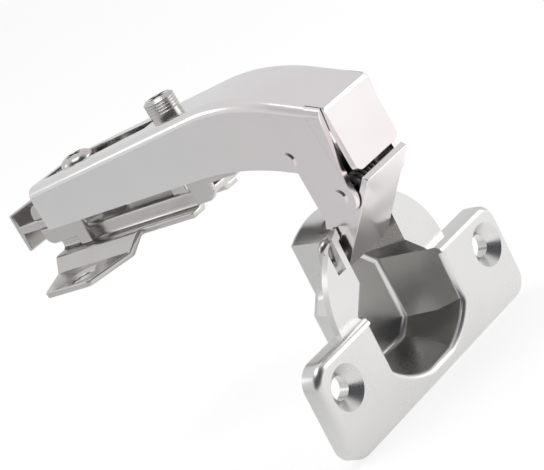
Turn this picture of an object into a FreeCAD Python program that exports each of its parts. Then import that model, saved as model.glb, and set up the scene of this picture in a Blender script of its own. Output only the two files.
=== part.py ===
import FreeCAD, Part
import math
import os

# Cabinet cup hinge with a cranked arm for a door that closes in line with its side panel.
# Frame: X runs forward along the arm, Y along the pivots, Z out of the panel.
# The origin is on the panel's face, midway between the two screws of the mounting plate.
# The shape is the open hinge; sizes are in millimetres.

V = FreeCAD.Vector

# Fits
PIN_PRESS = 0.02
PIN_RUN = 0.05
SHEET_GAP = 0.25
SLOT_GAP = 0.2
SEAT_LAP = 0.02

# Pivots of the four-bar linkage as (x, z)
PIVOT_A = (55.6, 7.3)
PIVOT_B = (62.0, -1.85)
PIVOT_C = (53.2, -12.7)
PIVOT_D = (54.8, -8.7)

# Cranked arm
ARM_SHEET = 1.2
ARM_HALF = 7.9
ARM_REAR_X = -12.3
FACET_REACH = 6.3
ARM_LOW_Z = 9.3
ARM_LOW_BEND_X = 34.0
ARM_CORNER_Z = 4.0
ARM_REAR_TOP_Z = 18.2
ARM_RISE_DEG = 3.8
ARM_FALL_DEG = 22.3
ARM_CREASE_Z = 14.2
ARM_HUMP_R = 45.0
ARM_FOLD_R = 2.0
ARM_CREASE_R = 1.3
NOSE_R = 3.6
SIDE_FRONT_BACKSET = 3.7
FACET_LOW_Z = 1.3
FACET_SIDE_GAP = 0.15
FACET_CORNER_R = 1.5
WINDOW_REAR_X = -10.0
WINDOW_STEP_X = 3.0
WINDOW_FRONT_X = 21.0
WINDOW_HEAD_HALF = 4.3
WINDOW_WIDE_HALF = 3.4
WINDOW_NARROW_HALF = 2.2
PAD_TOP_Z = 17.4
PAD_THICK = 1.4

# Arm pins and the closing spring
PIN_R = 1.0
PIN_HEAD_R = 1.8
PIN_HEAD_T = 0.35
SPRING_WIRE_R = 0.5
SPRING_BORE_GAP = 0.2
SPRING_TURNS = 6
SPRING_PITCH = 1.25
SPRING_LEG_UP = 4.6
SPRING_LEG_DOWN = 1.2

# Outer and inner links
LINK_SHEET = 1.3
LINK_ARM_GAP = 0.3
WEB_TOP = (69.0, -0.65)
WEB_LOW = (54.1, -15.2)
WEB_FREE = 6.6
WEB_RELIEF = 0.5
EAR_B_R = 4.4
EAR_C_R = 2.3
LEG_GAP = 0.35
INNER_HALF = 4.2
INNER_EYE_R = 2.2
INNER_TOP_R = 3.6
OPEN_PIVOT_SHIFT = (0.7, -0.75)
OPEN_PIVOT_PLAY = 1.15

# Cup, seen along its own axis: n out of the mouth, w towards the arm
CUP_CENTRE = (58.0, -23.4)
CUP_TILT_DEG = 4.5
CUP_SHEET = 1.2
FLANGE_LENGTH = 60.0
FLANGE_ARM_W = 0.7
FLANGE_DOOR_W = -18.7
FLANGE_T = 4.0
FLANGE_CORNER_R = 4.0
FLANGE_EDGE_R = 1.5
FLANGE_SKIN = 1.4
SCREW_SPACING = 48.0
SCREW_W = -6.0
SCREW_HOLE_R = 2.2
SCREW_SINK_R = 4.2
SCREW_SINK_DEPTH = 1.9
SCREW_BOSS_R = 4.9
RIM_R = 17.4
RIM_DROP = 2.65
BODY_R = 17.0
FLOOR_DEPTH = 13.4
MOUTH_HALF = 12.2
MOUTH_DOOR_W = -15.5
MOUTH_DOOR_HALF = 7.6
MOUTH_CORNER_W = -11.6
MOUTH_SHOULDER_W = 0.8
CHEEK_START_W = 5.6
CHEEK_HALF = 7.7
DOOR_DRAFT = 1.7
CORNER_DRAFT = 2.0
SIDE_DRAFT = 2.6
SHOULDER_DRAFT = 1.5
CHEEK_DRAFT = 0.7
NOTCH_HALF = 6.75
NOTCH_DEPTH = 7.4
CUP_FILLET_R = 1.0
CUP_BOTTOM_R = 2.2

# Staple pin
STAPLE_R = 1.0
STAPLE_BEND_R = 1.15

# Clip adapter
ADAPTER_SHEET = 1.1
ADAPTER_REAR_X = -16.8
ADAPTER_FRONT_X = 43.5
ADAPTER_WEB_FRONT_X = 31.0
ADAPTER_TOP_Z = 14.6
ADAPTER_LOW_Z = 5.85
ADAPTER_MID_Z = 9.8
ADAPTER_NOSE_Z = 7.7
ADAPTER_CORNER_R = 2.4
REAR_CLAW = (-7.6, -4.0, 4.0)
STRIP_TAB_X = (23.4, 27.0)
FRONT_CLAW_X = (28.0, 33.6)
FRONT_CLAW_Z = 4.4
FRONT_TOE_X = 24.6
TOE_T = 1.3
SEAT_REAR_X = -13.0
SEAT_LENGTH = 3.0

# Release slide
SLIDE_REAR_X = -22.3
SLIDE_SHEET = 1.0
SLIDE_PLATE_Z = (5.9, 14.2)
SLIDE_STRIP_Z = (9.6, 11.4)
SLIDE_BAR_X = -8.0
SLIDE_TRAVEL = 2.2
CATCH_HALF = 2.5
CATCH_T = 1.5
CATCH_TOE = 1.4

# Mounting plate
PLATE_SHEET = 1.2
RIDGE_REAR_X = -15.5
RIDGE_FRONT_X = 26.0
RIDGE_TOP_Z = 7.0
RIDGE_HALF = 4.3
FOOT_Z = 3.6
FOOT_HALF = 7.0
WING_SPACING = 32.0
WING_MARGIN = 4.3
WING_SLOPE_Y = (8.0, 11.0)
WING_REAR_X = -7.5
WING_FRONT_X = 6.0
WING_ROOT_FRONT_X = 11.0
WING_WAIST_X = 7.5
WING_CORNER_R = 1.5
PLATE_HOLE_R = 2.5
PLATE_SINK_R = 3.6
PLATE_SINK_DEPTH = 0.6
PLATE_BEND_R = 0.9
CATCH_WINDOW_X = (-9.9, -4.8)

# Screws
DEPTH_SCREW_X = -3.4
DEPTH_HEAD_R = 3.5
DEPTH_HEAD_H = 2.6
DEPTH_SHANK_R = 2.0
DEPTH_SHANK_LOW_Z = 12.2
DEPTH_SLOT_LENGTH = 5.0
SIDE_SCREW_X = 26.1
SIDE_SCREW_R = 3.0
SIDE_SCREW_TOP_Z = 24.7
SIDE_SCREW_LOW_Z = 15.6
SIDE_NECK_R = 1.7
SIDE_FOOT_R = 2.7
SIDE_FOOT_T = 1.0
NECK_PLAY = 1.0
CROSS_HALF = 1.9
CROSS_SLOT = 0.9
CROSS_DEPTH = 1.2

# Worked-out sizes
ARM_FRONT_X = PIVOT_B[0] + FACET_REACH
ARM_INNER_HALF = ARM_HALF - ARM_SHEET
FACET_HALF = ARM_INNER_HALF - FACET_SIDE_GAP
LINK_HALF = ARM_INNER_HALF - LINK_ARM_GAP
ADAPTER_HALF = ARM_INNER_HALF - SHEET_GAP
ADAPTER_INNER_HALF = ADAPTER_HALF - ADAPTER_SHEET
FLOOR_OUT = FLOOR_DEPTH + CUP_SHEET
RISE = math.tan(math.radians(ARM_RISE_DEG))
FALL = math.tan(math.radians(ARM_FALL_DEG))
CHEEK_OUT = CHEEK_HALF + CUP_SHEET
STAPLE_Y = CHEEK_OUT + STAPLE_BEND_R + PIN_RUN
WING_END_Y = WING_SPACING / 2 + WING_MARGIN


def box(x0, x1, y0, y1, z0, z1):
    """A block between two corners."""
    return Part.makeBox(x1 - x0, y1 - y0, z1 - z0, V(x0, y0, z0))


def rod_y(pivot, radius, y0, y1):
    """A cylinder along Y through a pivot."""
    return Part.makeCylinder(radius, y1 - y0, V(pivot[0], y0, pivot[1]), V(0, 1, 0))


def rod_z(x, y, radius, z0, z1):
    """An upright cylinder."""
    return Part.makeCylinder(radius, z1 - z0, V(x, y, z0))


def prism_y(points, y0, y1):
    """An outline of (x, z) points run along Y."""
    corners = [V(x, y0, z) for x, z in points]
    face = Part.Face(Part.makePolygon(corners + corners[:1]))
    return face.extrude(V(0, y1 - y0, 0))


def prism_z(points, z0, z1):
    """An outline of (x, y) points run along Z."""
    corners = [V(x, y, z0) for x, y in points]
    face = Part.Face(Part.makePolygon(corners + corners[:1]))
    return face.extrude(V(0, 0, z1 - z0))


def both_sides(shape):
    """A shape and its mirror image across the middle plane."""
    return shape.fuse(shape.mirror(V(0, 0, 0), V(0, 1, 0)))


def edges_where(shape, test):
    """The edges whose two ends both pass a test."""
    return [e for e in shape.Edges if all(test(v.Point) for v in e.Vertexes)]


def near(a, b):
    """Whether two sizes are the same."""
    return abs(a - b) < 1e-4


def direction(start, end):
    """Unit vector in the (x, z) plane and the distance between two points."""
    dx = end[0] - start[0]
    dz = end[1] - start[1]
    length = math.hypot(dx, dz)
    return dx / length, dz / length, length


def top_profile(inset):
    """Edges of the arm's top line from rear to crease, set inwards, with its end points."""
    rise = math.radians(ARM_RISE_DEG)
    fall = math.radians(ARM_FALL_DEG)
    rear_x = ARM_REAR_X
    rear_z = ARM_REAR_TOP_Z - inset / math.cos(rise)
    front_x = ARM_FRONT_X - inset
    front_z = ARM_CREASE_Z + inset * FALL - inset / math.cos(fall)
    apex_x = (front_z + FALL * front_x - rear_z + RISE * rear_x) / (RISE + FALL)
    apex_z = rear_z + RISE * (apex_x - rear_x)
    radius = ARM_HUMP_R - inset
    half_turn = (rise + fall) / 2
    reach = radius * math.tan(half_turn)
    crown = radius / math.cos(half_turn) - radius
    lean = (fall - rise) / 2
    rear = V(rear_x, 0, rear_z)
    front = V(front_x, 0, front_z)
    start = V(apex_x - reach * math.cos(rise), 0, apex_z - reach * math.sin(rise))
    middle = V(apex_x - crown * math.sin(lean), 0, apex_z - crown * math.cos(lean))
    end = V(apex_x + reach * math.cos(fall), 0, apex_z - reach * math.sin(fall))
    edges = [
        Part.makeLine(rear, start),
        Part.Arc(start, middle, end).toShape(),
        Part.makeLine(end, front),
    ]
    return edges, rear, front


def outline_solid(edges, points, half):
    """A solid across the middle plane from joined edges closed by straight lines."""
    lines = [Part.makeLine(points[i], points[i + 1]) for i in range(len(points) - 1)]
    wire = Part.Wire(Part.__sortEdges__(edges + lines))
    face = Part.Face(wire)
    face.translate(V(0, -half, 0))
    return face.extrude(V(0, 2 * half, 0))


def build_arm():
    """The folded sheet arm with its screw window, sunk pad and pin holes."""
    edges, rear, front = top_profile(0)
    rear_low = V(ARM_REAR_X, 0, ARM_LOW_Z)
    outer = arm_outer(edges, rear, front, rear_low)
    fold = edges_where(outer, lambda p: near(abs(p.y), ARM_HALF) and p.z > ARM_CREASE_Z - 1e-4)
    fold = [e for e in fold if near(e.Vertexes[0].Y, e.Vertexes[1].Y)]
    outer = outer.makeFillet(ARM_FOLD_R, fold)
    inner_edges, inner_rear, inner_front = top_profile(ARM_SHEET)
    low = PIVOT_B[1] - 2 * NOSE_R
    hollow = outline_solid(
        inner_edges,
        [inner_front, V(inner_front.x, 0, low), V(inner_rear.x, 0, low), inner_rear],
        ARM_INNER_HALF,
    )
    arm = outer.cut(hollow)
    side_top = ARM_CREASE_Z + SIDE_FRONT_BACKSET
    ahead = [
        (PIVOT_B[0] + NOSE_R, PIVOT_B[1]),
        (ARM_FRONT_X - SIDE_FRONT_BACKSET, side_top),
        (ARM_FRONT_X + 1, side_top),
        (ARM_FRONT_X + 1, PIVOT_B[1]),
    ]
    arm = arm.cut(both_sides(prism_y(ahead, FACET_HALF, ARM_HALF + 1)))
    arm = round_facet(arm)
    pad_front = WINDOW_STEP_X + 1
    pad = box(WINDOW_REAR_X - 1, pad_front, -ARM_INNER_HALF - SEAT_LAP, ARM_INNER_HALF + SEAT_LAP,
              PAD_TOP_Z - PAD_THICK, PAD_TOP_Z)
    arm = arm.fuse(pad)
    arm = arm.cut(arm_window())
    slot_half = DEPTH_SLOT_LENGTH / 2
    slot_r = DEPTH_SHANK_R + SLOT_GAP
    for x in (DEPTH_SCREW_X - slot_half, DEPTH_SCREW_X + slot_half):
        arm = arm.cut(rod_z(x, 0, slot_r, PAD_TOP_Z - 2 * PAD_THICK, PAD_TOP_Z + 1))
    arm = arm.cut(box(DEPTH_SCREW_X - slot_half, DEPTH_SCREW_X + slot_half, -slot_r, slot_r,
                      PAD_TOP_Z - 2 * PAD_THICK, PAD_TOP_Z + 1))
    arm = arm.cut(rod_z(SIDE_SCREW_X, 0, SIDE_SCREW_R + PIN_RUN, ARM_LOW_Z, SIDE_SCREW_TOP_Z + 1))
    for pivot in (PIVOT_A, PIVOT_B):
        arm = arm.cut(rod_y(pivot, PIN_R + PIN_PRESS, -ARM_HALF - 1, ARM_HALF + 1))
    return arm.removeSplitter()


def arm_outer(edges, rear, front, rear_low):
    """The arm's outside with its rear edge closed."""
    bend = V(ARM_LOW_BEND_X, 0, ARM_LOW_Z)
    corner = V(PIVOT_B[0] - NOSE_R, 0, ARM_CORNER_Z)
    run = corner.x - bend.x
    drop = bend.z - corner.z
    radius = (run * run + drop * drop) / (2 * drop)
    part_turn = math.asin(run / radius) / 2
    under = V(bend.x + radius * math.sin(part_turn), 0, bend.z - radius * (1 - math.cos(part_turn)))
    nose_back = V(PIVOT_B[0] - NOSE_R, 0, PIVOT_B[1])
    nose_low = V(PIVOT_B[0], 0, PIVOT_B[1] - NOSE_R)
    nose_front = V(PIVOT_B[0] + NOSE_R, 0, PIVOT_B[1])
    shaped = edges + [
        Part.makeLine(rear, rear_low),
        Part.makeLine(rear_low, bend),
        Part.Arc(bend, under, corner).toShape(),
        Part.makeLine(corner, nose_back),
        Part.Arc(nose_back, nose_low, nose_front).toShape(),
    ]
    step_in = V(nose_front.x, 0, FACET_LOW_Z)
    step_out = V(ARM_FRONT_X, 0, FACET_LOW_Z)
    return outline_solid(shaped, [nose_front, step_in, step_out, front], ARM_HALF)


def round_facet(arm):
    """Round the crease above the front facet and the facet's lower corners."""
    crease = edges_where(arm, lambda p: near(p.x, ARM_FRONT_X) and near(p.z, ARM_CREASE_Z))
    arm = arm.makeFillet(ARM_CREASE_R, crease)
    corners = edges_where(
        arm, lambda p: near(p.z, FACET_LOW_Z) and near(abs(p.y), FACET_HALF) and p.x > ARM_FRONT_X - 2)
    corners = [e for e in corners if near(e.Vertexes[0].Y, e.Vertexes[1].Y)]
    return arm.makeFillet(FACET_CORNER_R, corners)


def arm_window():
    """The long tapered opening in the arm's top, wide at the rear for a screw head."""
    plan = [
        (WINDOW_REAR_X, WINDOW_HEAD_HALF),
        (WINDOW_STEP_X, WINDOW_HEAD_HALF),
        (WINDOW_STEP_X, WINDOW_WIDE_HALF),
        (WINDOW_FRONT_X, WINDOW_NARROW_HALF),
    ]
    plan = plan + [(x, -y) for x, y in reversed(plan)]
    return prism_z(plan, PAD_TOP_Z, SIDE_SCREW_TOP_Z)


def build_pin(pivot):
    """A rivet pin across the arm with a thin head on each side."""
    pin = rod_y(pivot, PIN_R, -ARM_HALF - PIN_HEAD_T, ARM_HALF + PIN_HEAD_T)
    return pin.fuse(both_sides(rod_y(pivot, PIN_HEAD_R, ARM_HALF, ARM_HALF + PIN_HEAD_T)))


def build_spring():
    """The closing spring: a coil round the front arm pin with two straight legs."""
    coil_r = PIN_R + SPRING_BORE_GAP + SPRING_WIRE_R
    length = SPRING_TURNS * SPRING_PITCH
    helix = Part.makeHelix(SPRING_PITCH, length, coil_r)
    first = V(coil_r, 0, 0)
    last = V(coil_r, 0, length)
    lead_in = Part.makeLine(first + V(0, -SPRING_LEG_UP, 0), first)
    lead_out = Part.makeLine(last, last + V(0, SPRING_LEG_DOWN, 0))
    path = Part.Wire([lead_in] + helix.Edges + [lead_out])
    profile = Part.Wire(Part.makeCircle(SPRING_WIRE_R, first + V(0, -SPRING_LEG_UP, 0), V(0, 1, 0)))
    coil = path.makePipeShell([profile], True, True)
    coil.translate(V(0, 0, -length / 2))
    coil.rotate(V(0, 0, 0), V(1, 0, 0), 90)
    coil.rotate(V(0, 0, 0), V(0, 1, 0), 180)
    coil.translate(V(PIVOT_B[0], 0, PIVOT_B[1]))
    return coil


def web_frame():
    """Directions along and out of the outer link's web and its length."""
    ux, uz, length = direction(WEB_LOW, WEB_TOP)
    return (ux, uz), (uz, -ux), length


def along_web(s, depth):
    """A point on the web, s from its lower end and depth below its outer face."""
    (ux, uz), (nx, nz) = web_frame()[:2]
    return WEB_LOW[0] + s * ux - depth * nx, WEB_LOW[1] + s * uz - depth * nz


def strip(s0, s1, d0, d1):
    """Corners of a strip beside the web."""
    return [along_web(s0, d0), along_web(s1, d0), along_web(s1, d1), along_web(s0, d1)]


def build_outer_link():
    """The broad folded link from the front arm pin to the deep leg of the staple."""
    length = web_frame()[2]
    bend = length - WEB_FREE
    web = prism_y(strip(0, length, 0, LINK_SHEET), -LINK_HALF, LINK_HALF)
    inner = LINK_HALF - LINK_SHEET
    ux, uz = direction(PIVOT_C, PIVOT_B)[:2]
    side = [
        (PIVOT_C[0] - EAR_C_R * uz, PIVOT_C[1] + EAR_C_R * ux),
        (PIVOT_B[0] - EAR_B_R * uz, PIVOT_B[1] + EAR_B_R * ux),
        along_web(length, 0),
        along_web(0, 0),
    ]
    ear = prism_y(side, inner, LINK_HALF)
    ear = ear.fuse(rod_y(PIVOT_B, EAR_B_R, inner, LINK_HALF))
    ear = ear.fuse(rod_y(PIVOT_C, EAR_C_R, inner, LINK_HALF))
    above = strip(bend, length + EAR_B_R, -EAR_B_R, LINK_SHEET + WEB_RELIEF)
    ear = ear.cut(prism_y(above, inner - 1, LINK_HALF + 1))
    below = strip(-EAR_B_R, length, -EAR_B_R, 0)
    ear = ear.cut(prism_y(below, inner - 1, LINK_HALF + 1))
    beyond = along_b_side()
    ear = ear.cut(prism_y(beyond, inner - 1, LINK_HALF + 1))
    ear = ear.cut(leg_sweep(inner - 1, LINK_HALF + 1))
    link = web.fuse(both_sides(ear))
    for pivot, radius in ((PIVOT_B, PIN_R), (PIVOT_C, STAPLE_R)):
        link = link.cut(rod_y(pivot, radius + PIN_RUN, -LINK_HALF - 1, LINK_HALF + 1))
    return link.removeSplitter()


def along_b_side():
    """The part of an ear's plate that would stand beyond the round end at the front pin."""
    ux, uz = direction(PIVOT_C, PIVOT_B)[:2]
    far = 3 * EAR_B_R
    left = (PIVOT_B[0] - far * uz, PIVOT_B[1] + far * ux)
    right = (PIVOT_B[0] + far * uz, PIVOT_B[1] - far * ux)
    return [
        left,
        right,
        (right[0] + far * ux, right[1] + far * uz),
        (left[0] + far * ux, left[1] + far * uz),
    ]


def leg_sweep(y0, y1):
    """The path that the staple's other leg takes past the outer link's ears."""
    ux, uz, gap = direction(PIVOT_C, PIVOT_D)
    clear = STAPLE_R + LEG_GAP
    ring = rod_y(PIVOT_C, gap + clear, y0, y1).cut(rod_y(PIVOT_C, gap - clear, y0, y1))
    slip = math.asin(clear / gap)
    first = math.atan2(uz, ux) - slip
    turn = math.pi
    far = 2 * (gap + clear)
    fan = [PIVOT_C]
    for step in range(5):
        angle = first + turn * step / 4
        fan.append((PIVOT_C[0] + far * math.cos(angle), PIVOT_C[1] + far * math.sin(angle)))
    return ring.common(prism_y(fan, y0, y1))


def build_inner_link():
    """The narrow link from the staple's near leg up into the arm."""
    ux, uz = direction(PIVOT_D, PIVOT_A)[:2]
    head = (PIVOT_A[0] + OPEN_PIVOT_SHIFT[0], PIVOT_A[1] + OPEN_PIVOT_SHIFT[1])
    inner = INNER_HALF - LINK_SHEET
    side = [
        (PIVOT_D[0] - INNER_EYE_R * uz, PIVOT_D[1] + INNER_EYE_R * ux),
        (head[0] - INNER_TOP_R * uz, head[1] + INNER_TOP_R * ux),
        (head[0] + INNER_TOP_R * uz, head[1] - INNER_TOP_R * ux),
        (PIVOT_D[0] + INNER_EYE_R * uz, PIVOT_D[1] - INNER_EYE_R * ux),
    ]
    plate = prism_y(side, inner, INNER_HALF)
    plate = plate.fuse(rod_y(PIVOT_D, INNER_EYE_R, inner, INNER_HALF))
    plate = plate.fuse(rod_y(head, INNER_TOP_R, inner, INNER_HALF))
    back = [
        side[0],
        side[1],
        (side[1][0] + LINK_SHEET * uz, side[1][1] - LINK_SHEET * ux),
        (side[0][0] + LINK_SHEET * uz, side[0][1] - LINK_SHEET * ux),
    ]
    link = both_sides(plate).fuse(prism_y(back, -inner - SEAT_LAP, inner + SEAT_LAP))
    link = link.cut(rod_y(PIVOT_D, STAPLE_R + PIN_RUN, -INNER_HALF - 1, INNER_HALF + 1))
    link = link.cut(rod_y(head, PIN_R + OPEN_PIVOT_PLAY, -INNER_HALF - 1, INNER_HALF + 1))
    return link.removeSplitter()


def cup_place(shape):
    """Turn and move a shape from the cup's own axes to its open place."""
    shape.rotate(V(0, 0, 0), V(0, 1, 0), CUP_TILT_DEG)
    shape.translate(V(CUP_CENTRE[0], 0, CUP_CENTRE[1]))
    return shape


def cup_local(pivot):
    """A pivot's (n, w) along the cup's own axes."""
    tilt = math.radians(CUP_TILT_DEG)
    dx = pivot[0] - CUP_CENTRE[0]
    dz = pivot[1] - CUP_CENTRE[1]
    return dx * math.cos(tilt) - dz * math.sin(tilt), dx * math.sin(tilt) + dz * math.cos(tilt)


def mouth_outline():
    """Corners of the opening as (y, w) and the draft of the wall after each corner."""
    half = [
        (MOUTH_DOOR_HALF, MOUTH_DOOR_W),
        (MOUTH_HALF, MOUTH_CORNER_W),
        (MOUTH_HALF, MOUTH_SHOULDER_W),
        (CHEEK_HALF, CHEEK_START_W),
        (CHEEK_HALF, RIM_R + 1),
    ]
    drafts = [CORNER_DRAFT, SIDE_DRAFT, SHOULDER_DRAFT, CHEEK_DRAFT]
    corners = half + [(-y, w) for y, w in reversed(half)]
    return corners, drafts + [0] + drafts[::-1] + [DOOR_DRAFT]


def drawn_in(corners, insets):
    """An outline with each wall moved inwards by its own inset."""
    moved = []
    for i, (y, w) in enumerate(corners):
        y0, w0 = corners[i - 1]
        y2, w2 = corners[(i + 1) % len(corners)]
        before = V(w0 - w, y - y0, 0).normalize()
        after = V(w - w2, y2 - y, 0).normalize()
        cross = before.x * after.y - before.y * after.x
        dy = (insets[i - 1] * after.y - insets[i] * before.y) / cross
        dw = (insets[i] * before.x - insets[i - 1] * after.x) / cross
        moved.append((y + dy, w + dw))
    return moved


def drafted(wall, n_top, n_low):
    """A block with drafted walls, grown outwards by a wall, between two heights."""
    corners, drafts = mouth_outline()
    rings = []
    for n in (n_top, n_low):
        insets = [-wall - draft * n / FLOOR_DEPTH for draft in drafts]
        rings.append([V(n, y, w) for y, w in drawn_in(corners, insets)])
    top, low = rings
    faces = [Part.Face(Part.makePolygon(ring + ring[:1])) for ring in rings]
    for i in range(len(top)):
        faces.append(Part.Face(Part.makePolygon([top[i - 1], top[i], low[i], low[i - 1], top[i - 1]])))
    shell = Part.Shell(faces)
    shell.sewShape()
    solid = Part.Solid(shell)
    return solid if solid.Volume > 0 else solid.reversed()


def disc_n(radius, n0, n1):
    """A round block about the cup's axis."""
    return Part.makeCylinder(radius, n1 - n0, V(n0, 0, 0), V(1, 0, 0))


def build_flange():
    """The raised flange with rounded edges, hollow behind its two wings."""
    half = FLANGE_LENGTH / 2
    flange = box(-FLANGE_T, 0, -half, half, FLANGE_DOOR_W, FLANGE_ARM_W)
    posts = edges_where(flange, lambda p: near(abs(p.y), half))
    posts = [e for e in posts if near(e.Vertexes[0].Y, e.Vertexes[1].Y)
             and near(e.Vertexes[0].Z, e.Vertexes[1].Z)]
    flange = flange.makeFillet(FLANGE_CORNER_R, posts)
    front = edges_where(flange, lambda p: near(p.x, 0))
    flange = flange.makeFillet(FLANGE_EDGE_R, front)
    for side in (-1, 1):
        y0 = side * (RIM_R + CUP_SHEET)
        y1 = side * (half - FLANGE_SKIN)
        pocket = box(-FLANGE_T, -FLANGE_SKIN - CUP_SHEET / 2, min(y0, y1), max(y0, y1),
                     FLANGE_DOOR_W + FLANGE_SKIN, FLANGE_ARM_W - FLANGE_SKIN)
        pillars = [e for e in pocket.Edges if near(e.Vertexes[0].Y, e.Vertexes[1].Y)
                   and near(e.Vertexes[0].Z, e.Vertexes[1].Z)]
        pocket = pocket.makeFillet(FLANGE_CORNER_R - FLANGE_SKIN, pillars)
        y = side * SCREW_SPACING / 2
        boss = Part.makeCylinder(SCREW_BOSS_R, 2 * FLANGE_T, V(-FLANGE_T, y, SCREW_W), V(1, 0, 0))
        flange = flange.cut(pocket.cut(boss))
    return flange


def screw_holes():
    """The two countersunk holes of the flange."""
    tools = []
    for side in (-1, 1):
        y = side * SCREW_SPACING / 2
        tools.append(Part.makeCylinder(SCREW_HOLE_R, 2 * FLANGE_T,
                                       V(-1.5 * FLANGE_T, y, SCREW_W), V(1, 0, 0)))
        tools.append(Part.makeCone(SCREW_HOLE_R, SCREW_SINK_R, SCREW_SINK_DEPTH,
                                   V(-SCREW_SINK_DEPTH, y, SCREW_W), V(1, 0, 0)))
    return tools[0].multiFuse(tools[1:])


def build_cup():
    """The drawn cup with flange, rim crescents, link notch and staple holes."""
    arm_end = RIM_R + 1
    outer = drafted(CUP_SHEET, -RIM_DROP, -FLOOR_OUT)
    outer = outer.common(disc_n(BODY_R, -FLOOR_OUT, -RIM_DROP))
    low = edges_where(outer, lambda p: near(p.x, -FLOOR_OUT))
    outer = outer.makeFillet(CUP_BOTTOM_R, low)
    rim = disc_n(RIM_R, -FLANGE_T, -RIM_DROP)
    cup = build_flange().fuse(rim).fuse(outer)
    cavity = drafted(0, 0, -FLOOR_DEPTH)
    cavity = cavity.common(disc_n(BODY_R - CUP_SHEET, -FLOOR_DEPTH, 0))
    floor = edges_where(cavity, lambda p: near(p.x, -FLOOR_DEPTH))
    cavity = cavity.makeFillet(CUP_FILLET_R, floor)
    cup = cup.cut(cavity)
    notch = box(-NOTCH_DEPTH, 1, -NOTCH_HALF, NOTCH_HALF, CHEEK_START_W, arm_end)
    cup = cup.cut(notch)
    cup = cup.cut(screw_holes())
    for pivot in (PIVOT_C, PIVOT_D):
        hole = rod_y(cup_local(pivot), STAPLE_R + PIN_PRESS, -RIM_R, RIM_R)
        cup = cup.cut(hole)
    bridge_low = cup_local(PIVOT_C)[1] - STAPLE_R - SLOT_GAP
    bridge = box(-FLOOR_DEPTH, 1, -STAPLE_Y - STAPLE_R - SLOT_GAP, -CHEEK_OUT, bridge_low, arm_end)
    cup = cup.cut(bridge)
    return cup_place(cup.removeSplitter())


def build_staple():
    """The U-shaped pin whose two legs cross the cup."""
    c = cup_local(PIVOT_C)
    d = cup_local(PIVOT_D)
    far = CHEEK_OUT
    leg_c = [V(c[0], far, c[1]), V(c[0], -STAPLE_Y, c[1])]
    leg_d = [V(d[0], -STAPLE_Y, d[1]), V(d[0], far, d[1])]
    ux, uw = direction(c, d)[:2]
    bend = STAPLE_BEND_R
    tip = math.sqrt(0.5)
    rise = bend * (1 - tip)
    edges = [
        Part.makeLine(leg_c[0], leg_c[1] + V(0, bend, 0)),
        Part.Arc(leg_c[1] + V(0, bend, 0),
                 leg_c[1] + V(ux * rise, rise, uw * rise),
                 leg_c[1] + V(ux * bend, 0, uw * bend)).toShape(),
        Part.makeLine(leg_c[1] + V(ux * bend, 0, uw * bend), leg_d[0] - V(ux * bend, 0, uw * bend)),
        Part.Arc(leg_d[0] - V(ux * bend, 0, uw * bend),
                 leg_d[0] - V(ux * rise, -rise, uw * rise),
                 leg_d[0] + V(0, bend, 0)).toShape(),
        Part.makeLine(leg_d[0] + V(0, bend, 0), leg_d[1]),
    ]
    wire = Part.Wire(edges)
    circle = Part.Wire(Part.makeCircle(STAPLE_R, leg_c[0], V(0, 1, 0)))
    return cup_place(wire.makePipeShell([circle], True, False))


def adapter_side():
    """Outline of the adapter's side wall with its claws."""
    claw_back, claw_front = FRONT_CLAW_X
    claw_rear, claw_fore, claw_low = REAR_CLAW
    tab_rear, tab_front = STRIP_TAB_X
    tab_low = RIDGE_TOP_Z + ADAPTER_SHEET / 2
    return [
        (ADAPTER_REAR_X, ADAPTER_TOP_Z),
        (ADAPTER_REAR_X, ADAPTER_LOW_Z),
        (claw_rear, ADAPTER_LOW_Z),
        (claw_rear, claw_low),
        (claw_fore, claw_low),
        (claw_fore, ADAPTER_MID_Z),
        (tab_rear, ADAPTER_MID_Z),
        (tab_rear, tab_low),
        (tab_front, tab_low),
        (tab_front, ADAPTER_MID_Z),
        (claw_back, ADAPTER_MID_Z),
        (claw_back, FRONT_CLAW_Z),
        (claw_front, FRONT_CLAW_Z),
        (claw_front, ADAPTER_NOSE_Z),
        (ADAPTER_FRONT_X - ADAPTER_CORNER_R, ADAPTER_NOSE_Z),
        (ADAPTER_FRONT_X, ADAPTER_NOSE_Z + ADAPTER_CORNER_R),
        (ADAPTER_FRONT_X, ADAPTER_TOP_Z),
    ]


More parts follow.
